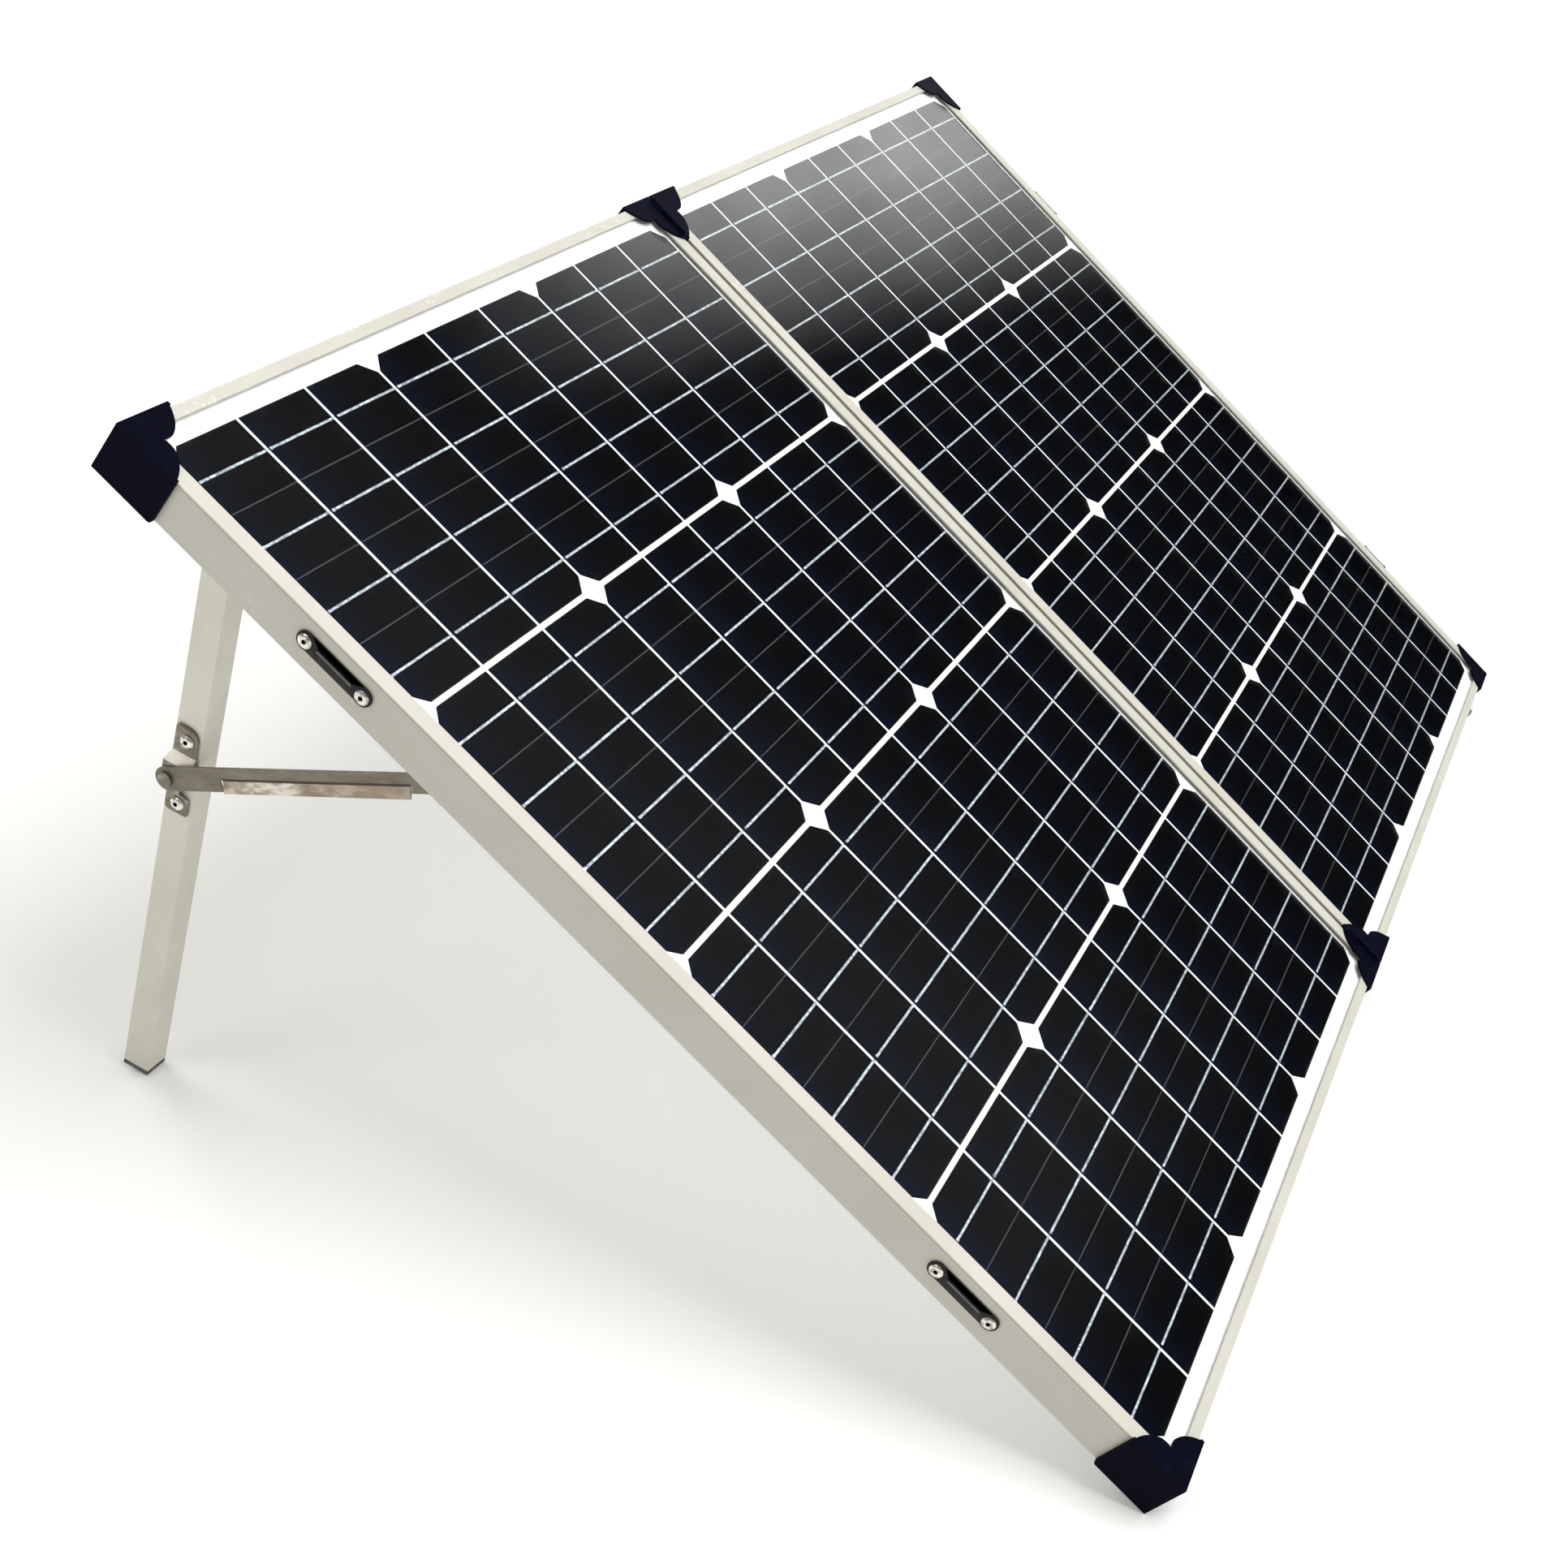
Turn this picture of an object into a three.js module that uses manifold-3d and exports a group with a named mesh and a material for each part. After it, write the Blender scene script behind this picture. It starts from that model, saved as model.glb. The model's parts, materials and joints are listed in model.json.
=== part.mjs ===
// Folding twin solar panel for camping: two framed panels side by side on a hinge
// axis between them, each held up by a folding leg with a strap brace.
//
// Panel frame used by every builder below: X across both panels with 0 in the middle
// of the gap, Y up the slope with 0 at mid height, Z out of the glass with 0 on the
// front face of the frame. Side is -1 for the near panel and +1 for the far panel.
// Lengths are millimetres and angles are degrees.

import * as THREE from 'three';
import { mergeVertices } from 'three/addons/utils/BufferGeometryUtils.js';
import Module from 'manifold-3d';

const wasm = await Module();
wasm.setup();

// ---------------------------------------------------------------- driving dimensions

const PANEL = { width: 507, height: 668, depth: 25, gap: 4 };
const FIT = 0.3;                       // gap left between two pieces that touch

const RAIL = {
  wall: 1.5,
  lipThickness: 1.2,
  sideLip: 9.7,                        // width of the front lip on the two long rails
  endLip: 6.3,                         // width of the front lip on the top and bottom rails
  ledgeWidth: 8,
  ledgeDepth: 6.0,                     // depth of the ledge that carries the laminate
  ledgeThickness: 1.2,
  sideReturn: 5,                       // width of the back flange on the long rails
  endReturn: 14,                       // width of the back flange on the end rails
};

const LAMINATE = { inset: 2.2, glassFront: 1.4, glass: 3.2, cells: 0.4, backsheet: 0.5, layerGap: 0.1 };

const PROTECTOR = {
  wall: 2.0,                           // walls on the outer faces of the frame
  gapWall: 1.4,                        // thinner wall in the gap between the panels
  leaf: 1.2,
  reach: 33,                           // length along each edge
  notch: 12.4,                         // where the two lobes of the front leaf meet
  backReach: 28,
  wingRadius: 2,
};

const HINGE = {
  height: 1.8,                         // axis in front of the frame's front face
  knuckleRadius: 1.6,
  boreRadius: 1.1,
  pinRadius: 0.8,
  knuckles: [[0.5, 9], [21, 29.5]],    // on the near piece, measured up from the corner
  middleKnuckle: [9.3, 20.7],          // on the far piece
};

const LEG = {
  pivotFromTop: 57.5,
  pivotDepth: 14.5,
  inset: 12,                           // outer face of the tube, in from the outer face of the frame
  section: 15,
  wall: 1.3,
  length: 328,
  openAngle: 68.9,                     // from lying in the frame to standing
  boltRadius: 3,
};

const BRACE = {
  rivetAlong: 136,
  rivetOffset: 5.8,                    // behind the centre line of the leg
  length: 161.5,
  width: 12.4,                         // of the flat blank, before its lower half is bent out
  thickness: 1.2,
  joggle: 1.6,                         // how far the lug stands off the bracket, over the screw heads
  openAngle: -118.8,                   // from lying along the leg to standing
  flangeOut: 1.8,                      // how far the bent half leans outboard
  flangeFrom: 32,
  flangeTo: 140,
  tip: 4,                              // radius of the end that carries the sliding pin
  pinRadius: 2.2,
};

const TRACK = { from: 198, to: 366, ledgeDepth: 16, thickness: 1.5, reach: 7 };

const KEEPER = { fromMiddle: 199.5, depth: 11.5, screwPitch: 34.5, boss: 5, bar: 5, proud: 2.4 };

const LATCH = { depth: 3, standoff: 4.6, arm: 22.8, width: 20, thickness: 2.5 };

const HANDLE = { halfSpan: 60, depth: 12.5, standoff: 6, reach: 30, rod: 3, grip: 5.5 };

// Round rubber stop on the lower edge of the far panel.
const BUMPER = { fromSide: 67, radius: 5.5, endRadius: 4.6, height: 5, depth: 9 };

const BOX = { width: 92, height: 66, depth: 14.5, wall: 2, fromMiddle: 205, lid: 2.4 };

const OUTER = PANEL.gap / 2 + PANEL.width;
const TOP = PANEL.height / 2;

// ---------------------------------------------------------------- materials

function material(color, roughness, metalness) {
  return () => new THREE.MeshStandardMaterial({ color, roughness, metalness });
}

const anodised = material(0xd2d0c6, 0.42, 0.85);
const stainless = material(0x9b958a, 0.35, 0.95);
const blackPlastic = material(0x0c0e16, 0.5, 0.0);
const darkRubber = material(0x1a1a1c, 0.85, 0.0);
const greyRubber = material(0x8f9690, 0.85, 0.0);
const glassPane = material(0xdfe6ea, 0.06, 0.0);
const cellBlue = material(0x1c2430, 0.25, 0.1);
const whiteSheet = material(0xe9e9e4, 0.7, 0.0);

// ---------------------------------------------------------------- solid helpers

function toSolid(geometry) {
  const bare = new THREE.BufferGeometry();
  bare.setAttribute('position', geometry.getAttribute('position').clone());
  if (geometry.index) bare.setIndex(geometry.index.clone());
  const welded = mergeVertices(bare, 1e-4);
  return new wasm.Manifold(new wasm.Mesh({
    numProp: 3,
    vertProperties: new Float32Array(welded.getAttribute('position').array),
    triVerts: new Uint32Array(welded.index.array),
  }));
}

function toGeometry(solid) {
  const mesh = solid.getMesh();
  const geometry = new THREE.BufferGeometry();
  geometry.setAttribute('position', new THREE.BufferAttribute(new Float32Array(mesh.vertProperties), 3));
  geometry.setIndex(new THREE.BufferAttribute(new Uint32Array(mesh.triVerts), 1));
  geometry.computeVertexNormals();
  return geometry;
}

function join(first, ...others) {
  return toGeometry(others.reduce((sum, each) => sum.add(toSolid(each)), toSolid(first)));
}

function cut(body, ...tools) {
  return toGeometry(tools.reduce((rest, each) => rest.subtract(toSolid(each)), toSolid(body)));
}

// A box given by its two limits along each axis.
function block([x0, x1], [y0, y1], [z0, z1]) {
  const box = new THREE.BoxGeometry(Math.abs(x1 - x0), Math.abs(y1 - y0), Math.abs(z1 - z0));
  return box.translate((x0 + x1) / 2, (y0 + y1) / 2, (z0 + z1) / 2);
}

// A round bar along X between two limits.
function rodX(radius, [x0, x1], y = 0, z = 0, sides = 32) {
  const rod = new THREE.CylinderGeometry(radius, radius, Math.abs(x1 - x0), sides);
  return rod.rotateZ(Math.PI / 2).translate((x0 + x1) / 2, y, z);
}

// A round bar along Y between two limits.
function rodY(radius, [y0, y1], x = 0, z = 0, sides = 32) {
  const rod = new THREE.CylinderGeometry(radius, radius, Math.abs(y1 - y0), sides);
  return rod.translate(x, (y0 + y1) / 2, z);
}

// A flat outline in X and Y, standing from z0 to z1.
function slab(shape, [z0, z1], curveSegments = 10) {
  const options = { depth: z1 - z0, bevelEnabled: false, curveSegments };
  return new THREE.ExtrudeGeometry(shape, options).translate(0, 0, z0);
}

// A flat outline in Y and Z, standing from x0 to x1.
function slabX(shape, [x0, x1], curveSegments = 10) {
  const upright = slab(shape, [x0, x1], curveSegments);
  return upright.rotateX(Math.PI / 2).rotateZ(Math.PI / 2);
}

function outline(points) {
  return new THREE.Shape(points.map(([x, y]) => new THREE.Vector2(x, y)));
}

function mirrored(geometry, axis) {
  const scale = { x: [-1, 1, 1], y: [1, -1, 1] }[axis];
  const flipped = (geometry.index ? geometry : mergeVertices(geometry)).clone();
  flipped.scale(...scale);
  const index = flipped.index.array;
  for (let i = 0; i < index.length; i += 3) {
    [index[i], index[i + 1]] = [index[i + 1], index[i]];
  }
  flipped.computeVertexNormals();
  return flipped;
}

function piece(name, geometry, makeMaterial, position = [0, 0, 0]) {
  const mesh = new THREE.Mesh(geometry, makeMaterial());
  mesh.name = name;
  mesh.position.set(...position);
  return mesh;
}

// Pieces drawn with the outer side of the panel towards +X, given to either side.
function handed(geometry, side) {
  return side > 0 ? geometry : mirrored(geometry, 'x');
}

// ---------------------------------------------------------------- frame

// Section of a rail: x runs inboard from the outer face, y is minus the depth.
function rail(lip, back, length) {
  const { wall, lipThickness, ledgeWidth, ledgeDepth, ledgeThickness } = RAIL;
  const ledgeBack = ledgeDepth + ledgeThickness;
  const backFront = PANEL.depth - lipThickness;
  const section = outline([
    [0, 0], [0, -PANEL.depth], [back, -PANEL.depth], [back, -backFront], [wall, -backFront],
    [wall, -ledgeBack], [ledgeWidth, -ledgeBack], [ledgeWidth, -ledgeDepth], [wall, -ledgeDepth],
    [wall, -lipThickness], [lip, -lipThickness], [lip, 0],
  ]);
  return slab(section, [-length / 2, length / 2]).rotateX(Math.PI / 2);
}

function frame(side, prefix) {
  const sideRail = rail(RAIL.sideLip, RAIL.sideReturn, PANEL.height);
  const endRail = rail(RAIL.endLip, RAIL.endReturn, PANEL.width - 2 * (RAIL.sideLip + FIT));
  const middle = side * (PANEL.gap + PANEL.width) / 2;
  const rails = [
    ['outer_rail', sideRail, side * OUTER, 0, side > 0 ? 180 : 0],
    ['inner_rail', sideRail, side * PANEL.gap / 2, 0, side > 0 ? 0 : 180],
    ['top_rail', endRail, middle, TOP, -90],
    ['bottom_rail', endRail, middle, -TOP, 90],
  ];
  return rails.map(([name, geometry, x, y, turn]) => {
    const mesh = piece(`${prefix}_${name}`, geometry, anodised, [x, y, 0]);
    mesh.rotation.z = THREE.MathUtils.degToRad(turn);
    return mesh;
  });
}

// Glass, cell layer and backsheet, one behind the other in the channel of the rails.
function laminate(side, prefix) {
  const width = PANEL.width - 2 * LAMINATE.inset;
  const height = PANEL.height - 2 * LAMINATE.inset;
  const x = side * (PANEL.gap + PANEL.width) / 2;
  const layers = [
    ['glass', LAMINATE.glass, glassPane],
    ['cell_layer', LAMINATE.cells, cellBlue],
    ['backsheet', LAMINATE.backsheet, whiteSheet],
  ];
  let front = -LAMINATE.glassFront;
  return layers.map(([name, thickness, makeMaterial]) => {
    const sheet = new THREE.BoxGeometry(width, height, thickness);
    const mesh = piece(`${prefix}_${name}`, sheet, makeMaterial, [x, 0, front - thickness / 2]);
    front -= thickness + LAMINATE.layerGap;
    return mesh;
  });
}

// ---------------------------------------------------------------- corner protectors

// Two rounded lobes that taper along the edges, with a notch between them.
function lobedLeaf(xWall, yWall) {
  const { reach, notch } = PROTECTOR;
  const shape = new THREE.Shape();
  shape.moveTo(-xWall, -yWall);
  shape.lineTo(reach, -yWall);
  shape.quadraticCurveTo(reach - 5, 9, 19.5, 12.8);
  shape.quadraticCurveTo(15.5, 13.6, notch, notch);
  shape.quadraticCurveTo(13.6, 15.5, 12.8, 19.5);
  shape.quadraticCurveTo(9, reach - 5, -xWall, reach);
  return shape;
}

function backLeaf(xWall, yWall) {
  const { backReach } = PROTECTOR;
  const shape = new THREE.Shape();
  shape.moveTo(-xWall, -yWall);
  shape.lineTo(backReach, -yWall);
  shape.quadraticCurveTo(backReach / 2.5, backReach / 2.5, -xWall, backReach);
  return shape;
}

// A side wing: x runs along the edge of the frame, y is minus the depth.
function wing(start) {
  const front = FIT + PROTECTOR.leaf;
  const back = -PANEL.depth - FIT - PROTECTOR.leaf;
  const radius = PROTECTOR.wingRadius;
  const shape = new THREE.Shape();
  shape.moveTo(-start, front);
  shape.lineTo(-start, back);
  shape.lineTo(PROTECTOR.reach - radius, back);
  shape.absarc(PROTECTOR.reach - radius, back + radius, radius, -Math.PI / 2, 0, false);
  shape.lineTo(PROTECTOR.reach, front);
  return shape;
}

// A protector for the corner whose two outer faces meet at 0, 0 and whose frame
// lies towards +X and +Y. The wall along Y is sideWall thick.
function protector(sideWall) {
  const xWall = FIT + sideWall;
  const yWall = FIT + PROTECTOR.wall;
  const front = [FIT, FIT + PROTECTOR.leaf];
  const back = [-PANEL.depth - FIT - PROTECTOR.leaf, -PANEL.depth - FIT];
  const alongY = slabX(wing(yWall), [-xWall, -FIT]);
  const alongX = slab(wing(xWall), [-yWall, -FIT]).rotateX(Math.PI / 2);
  const endWall = mirrored(alongX, 'y');
  return join(slab(lobedLeaf(xWall, yWall), front), slab(backLeaf(xWall, yWall), back), alongY, endWall);
}

// A middle protector also carries hinge knuckles over the gap. Its own knuckles are
// added and the room that the other piece's knuckles turn in is cut away.
function hingedProtector(own, other) {
  const axisX = -PANEL.gap / 2;
  const { height, knuckleRadius, boreRadius } = HINGE;
  const room = other.map(([from, to]) => rodY(knuckleRadius + FIT, [from - FIT, to + FIT], axisX, height));
  const barrels = own.map(([from, to]) => rodY(knuckleRadius, [from, to], axisX, height, 24));
  const webs = own.map(([from, to]) => block([axisX, 2], [from, to], [FIT, height]));
  const bore = rodY(boreRadius, [-10, 40], axisX, height, 24);
  const cleared = cut(protector(PROTECTOR.gapWall), ...room);
  return cut(join(cleared, ...barrels, ...webs), bore);
}

function protectors(side, prefix) {
  const outerCorner = protector(PROTECTOR.wall);
  const hinged = side > 0
    ? hingedProtector([HINGE.middleKnuckle], HINGE.knuckles)
    : hingedProtector(HINGE.knuckles, [HINGE.middleKnuckle]);
  const corners = [
    ['bottom_inner_corner', hinged, side * PANEL.gap / 2, -TOP, side < 0, false],
    ['top_inner_corner', hinged, side * PANEL.gap / 2, TOP, side < 0, true],
    ['bottom_outer_corner', outerCorner, side * OUTER, -TOP, side > 0, false],
    ['top_outer_corner', outerCorner, side * OUTER, TOP, side > 0, true],
  ];
  return corners.map(([name, geometry, x, y, flipX, flipY]) => {
    const turned = flipX ? mirrored(geometry, 'x') : geometry;
    const placed = flipY ? mirrored(turned, 'y') : turned;
    return piece(`${prefix}_${name}`, placed, blackPlastic, [x, y, 0]);
  });
}

function hingePins() {
  const length = HINGE.knuckles[1][1] - HINGE.knuckles[0][0];
  return [['bottom', -1], ['top', 1]].map(([name, end]) => {
    const start = end * (TOP - HINGE.knuckles[0][0]);
    const pin = rodY(HINGE.pinRadius, [-length / 2, length / 2], 0, 0, 20);
    return piece(`${name}_hinge_pin`, pin, stainless, [0, start - end * length / 2, HINGE.height]);
  });
}

// ---------------------------------------------------------------- leg and brace

// Everything below is drawn in leg axes: 0 at the pivot, -Y along the tube, -Z towards
// the back of the panel when folded, X outboard with 0 on the outboard face of the tube.

function legTube() {
  const { section, wall, length, boltRadius } = LEG;
  const half = section / 2;
  const side = new THREE.Shape();
  side.moveTo(-length, -half);
  side.lineTo(0, -half);
  side.absarc(0, 0, half, -Math.PI / 2, Math.PI / 2, false);
  side.lineTo(-length, half);
  const solidTube = slabX(side, [-section, 0], 16);
  const bore = block([-section + wall, -wall], [-length - 1, half - 2 * wall], [wall - half, half - wall]);
  const pivotHole = rodX(boltRadius + FIT, [-section - 1, 1]);
  return cut(solidTube, bore, pivotHole);
}

function footPlug() {
  const { section, wall, length } = LEG;
  const cap = block([-section, 0], [-length - FIT - 2.5, -length - FIT], [-section / 2, section / 2]);
  const inside = section / 2 - wall - FIT;
  const spigot = block([-section / 2 - inside, -section / 2 + inside],
    [-length - FIT - 1, -length + 12], [-inside, inside]);
  return join(cap, spigot);
}

// Bracket on the outboard face of the tube, with a raised lug to the rear for the rivet.
function legBracket() {
  const { rivetAlong, rivetOffset, thickness, joggle } = BRACE;
  const outer = FIT + thickness;
  const plate = block([FIT, outer], [-155, -105], [-5.5, 5.5]);
  const lug = rodX(4.5, [FIT, outer + joggle], -rivetAlong, -rivetOffset);
  const tab = block([FIT, outer + joggle], [-rivetAlong - 4.5, -rivetAlong + 4.5], [-rivetOffset, 0]);
  const hole = rodX(BRACE.pinRadius + FIT, [0, outer + joggle + 1], -rivetAlong, -rivetOffset);
  return cut(join(plate, lug, tab), hole);
}

// The rivet goes through the brace and the lug, and is flush with the back of the lug.
function braceRivet() {
  const { rivetAlong, rivetOffset, thickness, joggle, pinRadius } = BRACE;
  const outer = 3 * FIT + 2 * thickness + joggle;
  const shank = rodX(pinRadius, [FIT, outer + 1], -rivetAlong, -rivetOffset);
  const head = rodX(3.8, [outer, outer + 1.4], -rivetAlong, -rivetOffset);
  return join(shank, head);
}

// Brace in its own axes: 0 at the rivet, -Y along the strap. The lower half leans
// outboard between the two flat ends to stiffen it.
function braceStrap() {
  const { length, width, thickness, joggle, flangeOut, flangeFrom, flangeTo, tip, pinRadius } = BRACE;
  const inner = 2 * FIT + thickness + joggle;
  const outer = inner + thickness;
  const half = width / 2;
  const flat = new THREE.Shape();
  flat.moveTo(-flangeTo, 0);
  flat.lineTo(-flangeFrom, 0);
  flat.lineTo(-flangeFrom, -half);
  flat.lineTo(0, -half);
  flat.absarc(0, 0, half, -Math.PI / 2, Math.PI / 2, false);
  flat.lineTo(-flangeTo, half);
  flat.lineTo(-length, tip);
  flat.absarc(-length, 0, tip, Math.PI / 2, -Math.PI / 2, false);
  flat.lineTo(-flangeTo, -tip);
  const web = slabX(flat, [inner, outer]);
  const lean = outline([[inner, 0.5], [inner, 0], [inner + flangeOut, -half], [outer + flangeOut, -half],
    [outer, 0.5]]);
  const edge = slab(lean, [flangeFrom + 2, flangeTo]).rotateX(Math.PI / 2);
  const slidePin = rodX(pinRadius, [inner + 0.2, outer + flangeOut], -length, 0);
  const hole = rodX(pinRadius + FIT, [inner - 1, outer + 1]);
  return cut(join(web, edge, slidePin), hole);
}

function pivotBlock() {
  const { boltRadius, inset } = LEG;
  const body = block([FIT, inset - RAIL.wall - FIT], [-12.5, 12.5], [-7, 6.5]);
  const thread = rodX(boltRadius + FIT, [-1, inset - 6]);
  return cut(body, thread);
}

function pivotBolt() {
  const { boltRadius, inset, section } = LEG;
  const shank = rodX(boltRadius, [-section - 1, inset - 7]);
  const head = rodX(5.2, [-section - FIT - 3.2, -section - FIT], 0, 0, 24);
  const socket = new THREE.CylinderGeometry(1.8, 1.8, 2, 6).rotateZ(Math.PI / 2);
  return cut(join(shank, head), socket.translate(-section - FIT - 3.2, 0, 0));
}

// Guide for the sliding pin: a ledge along the inner wall with a stop at its upper end.
function braceTrack() {
  const length = TRACK.to - TRACK.from;
  const leaf = block([FIT, FIT + TRACK.thickness], [-length, 0], [-TRACK.ledgeDepth - 4, -8]);
  const reach = TRACK.reach - RAIL.wall;
  const ledge = block([FIT, reach], [-length, 0], [-TRACK.ledgeDepth - TRACK.thickness, -TRACK.ledgeDepth]);
  const stop = block([FIT, reach], [-3.5, 0], [-22, -TRACK.ledgeDepth]);
  return mirrored(join(leaf, ledge, stop), 'x');
}

function legSet(side, prefix) {
  const faceX = side * (OUTER - LEG.inset);
  const pivotY = TOP - LEG.pivotFromTop;
  const pivot = new THREE.Group();
  pivot.name = `${prefix}_leg_pivot`;
  pivot.position.set(faceX, pivotY, -LEG.pivotDepth);

  const leg = new THREE.Group();
  leg.rotation.x = THREE.MathUtils.degToRad(LEG.openAngle);
  leg.add(piece(`${prefix}_leg_tube`, handed(legTube(), side), anodised));
  leg.add(piece(`${prefix}_leg_foot_plug`, handed(footPlug(), side), greyRubber));
  leg.add(piece(`${prefix}_leg_bracket`, handed(legBracket(), side), stainless));
  leg.add(piece(`${prefix}_brace_rivet`, handed(braceRivet(), side), stainless));

  const brace = new THREE.Group();
  brace.name = `${prefix}_brace_pivot`;
  brace.position.set(0, -BRACE.rivetAlong, -BRACE.rivetOffset);
  brace.rotation.x = THREE.MathUtils.degToRad(BRACE.openAngle);
  brace.add(piece(`${prefix}_brace_strap`, handed(braceStrap(), side), stainless));
  leg.add(brace);

  pivot.add(leg);
  pivot.add(piece(`${prefix}_leg_pivot_block`, handed(pivotBlock(), side), blackPlastic));
  pivot.add(piece(`${prefix}_leg_pivot_bolt`, handed(pivotBolt(), side), stainless));

  const wallX = side * (OUTER - RAIL.wall);
  const track = piece(`${prefix}_brace_track`, handed(braceTrack(), side), anodised,
    [wallX, TOP - TRACK.from, 0]);
  return [pivot, track];
}

// ---------------------------------------------------------------- junction box

function boxBase() {
  const { width, height, depth, wall } = BOX;
  const body = block([-width / 2, width / 2], [-height / 2, height / 2], [-depth, 0]);
  const room = block([wall - width / 2, width / 2 - wall], [wall - height / 2, height / 2 - wall],
    [-depth - 1, -wall]);
  const glandHole = rodY(4.3, [-height / 2 - 1, -height / 2 + wall + 1], -22, -depth / 2, 24);
  return cut(body, room, glandHole);
}

function boxLid() {
  const { width, height, lid, wall } = BOX;
  const inside = wall + FIT;
  const cover = block([-width / 2 - 1, width / 2 + 1], [-height / 2 - 1, height / 2 + 1], [-lid, 0]);
  const rim = block([inside - width / 2, width / 2 - inside], [inside - height / 2, height / 2 - inside],
    [-1, 2.5]);
  const hollow = block([inside + 1.5 - width / 2, width / 2 - inside - 1.5],
    [inside + 1.5 - height / 2, height / 2 - inside - 1.5], [0, 4]);
  return join(cover, cut(rim, hollow));
}

// Cable gland with a hexagonal collar, on its own axis along Y with 0 at the box wall.
function cableGland() {
  const nut = new THREE.CylinderGeometry(6.2, 6.2, 5, 6).translate(0, -2.5 - FIT, 0);
  const dome = new THREE.CylinderGeometry(5.2, 4, 8, 24).translate(0, -8 - FIT, 0);
  const stem = new THREE.CylinderGeometry(4, 4, 6, 24).translate(0, 1.5, 0);
  const way = new THREE.CylinderGeometry(2, 2, 40, 20);
  return cut(join(nut, dome, stem), way);
}

function junctionBox(side, prefix) {
  const x = side * (PANEL.gap + PANEL.width) / 2;
  const sheetBack = LAMINATE.glassFront + LAMINATE.glass + LAMINATE.cells + LAMINATE.backsheet
    + 2 * LAMINATE.layerGap;
  const front = -sheetBack - FIT;
  const lidFront = front - BOX.depth - FIT;
  return [
    piece(`${prefix}_junction_box`, boxBase(), blackPlastic, [x, BOX.fromMiddle, front]),
    piece(`${prefix}_junction_box_lid`, boxLid(), blackPlastic, [x, BOX.fromMiddle, lidFront]),
    piece(`${prefix}_cable_gland`, cableGland(), blackPlastic,
      [x - 22, BOX.fromMiddle - BOX.height / 2, front - BOX.depth / 2]),
  ];
}

// ---------------------------------------------------------------- latches, handle, bumper

// Keeper for the latch: two screw bosses with a bar between them, on a face towards -X.
function keeper() {
  const { screwPitch, boss, bar, proud } = KEEPER;
  const half = screwPitch / 2;
  const out = [-FIT - proud, -FIT];
  const bridge = block(out, [-half, half], [-bar / 2, bar / 2]);
  return join(bridge, rodX(boss, out, -half), rodX(boss, out, half));
}

// Base plate with two ears that carry the lever's trunnions, on a face towards +X.
function latchBase() {
  const { standoff, width } = LATCH;
  const earFrom = width / 2 + FIT;
  const plate = block([FIT, 1.5], [-earFrom - 2.4, earFrom + 2.4], [-14, 2.4]);
  const ears = [1, -1].map((end) => join(
    block([FIT, standoff], [end * earFrom, end * (earFrom + 2.4)], [-2.6, 2.4]),
    rodY(2.4, [end * earFrom, end * (earFrom + 2.4)], standoff, 0, 24),
  ));
  return cut(join(plate, ...ears), rodY(1.5, [-width, width], standoff, 0, 20));
}

// Lever drawn stowed: from the trunnions towards the back, with its hook outwards.
function latchLever() {
  const { standoff, arm, width, thickness } = LATCH;
  const half = width / 2;
  const plate = block([standoff - thickness / 2, standoff + thickness / 2], [-half, half], [-arm, 0]);
  const barrel = rodY(2, [-half, half], standoff, 0, 24);
  const trunnions = rodY(1.2, [-half - 2, half + 2], standoff, 0, 20);
  const hook = block([standoff, standoff + 3.9], [-half, half], [-arm, -arm + 1.8]);
  return join(plate, barrel, trunnions, hook);
}

// A path through the given points with rounded corners.
function roundedPath(points, radius) {
  const path = new THREE.CurvePath();
  let from = points[0];
  for (let i = 1; i < points.length - 1; i += 1) {
    const before = points[i].clone().sub(from).setLength(radius);
    const after = points[i + 1].clone().sub(points[i]).setLength(radius);
    const start = points[i].clone().sub(before);
    const end = points[i].clone().add(after);
    path.add(new THREE.LineCurve3(from, start));
    path.add(new THREE.QuadraticBezierCurve3(start, points[i], end));
    from = end;
  }
  path.add(new THREE.LineCurve3(from, points[points.length - 1]));
  return path;
}

// Bail of the carry handle, hanging from two trunnions on an axis along Y.
function handleBail() {
  const { halfSpan, reach, rod } = HANDLE;
  const end = halfSpan + 6;
  const shoulder = halfSpan - 12;
  const path = roundedPath([
    new THREE.Vector3(0, -end, 0),
    new THREE.Vector3(0, -shoulder, 0),
    new THREE.Vector3(0, -shoulder, -reach),
    new THREE.Vector3(0, shoulder, -reach),
    new THREE.Vector3(0, shoulder, 0),
    new THREE.Vector3(0, end, 0),
  ], 6);
  const circle = new THREE.Shape();
  circle.absarc(0, 0, rod, 0, 2 * Math.PI, false);
  return new THREE.ExtrudeGeometry(circle, { steps: 60, extrudePath: path, curveSegments: 8 });
}

function handleGrip() {
  const { halfSpan, reach, rod, grip } = HANDLE;
  const half = halfSpan - 18;
  return cut(rodY(grip, [-half, half], 0, -reach, 32), rodY(rod + FIT, [-half - 1, half + 1], 0, -reach, 24));
}

function handleMount() {
  const { standoff, rod } = HANDLE;
  const foot = block([FIT, 2.2], [-7, 7], [-10, 10]);
  const post = join(block([FIT, standoff], [-5, 5], [-5.5, 5.5]), rodY(5.5, [-5, 5], standoff, 0));
  return cut(join(foot, post), rodY(rod + FIT, [-10, 10], standoff, 0));
}

function nearSideFittings() {
  return [['upper', 1], ['lower', -1]].map(([name, end]) => piece(`${name}_latch_keeper`, keeper(),
    blackPlastic, [-OUTER, end * KEEPER.fromMiddle, -KEEPER.depth]));
}

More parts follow.
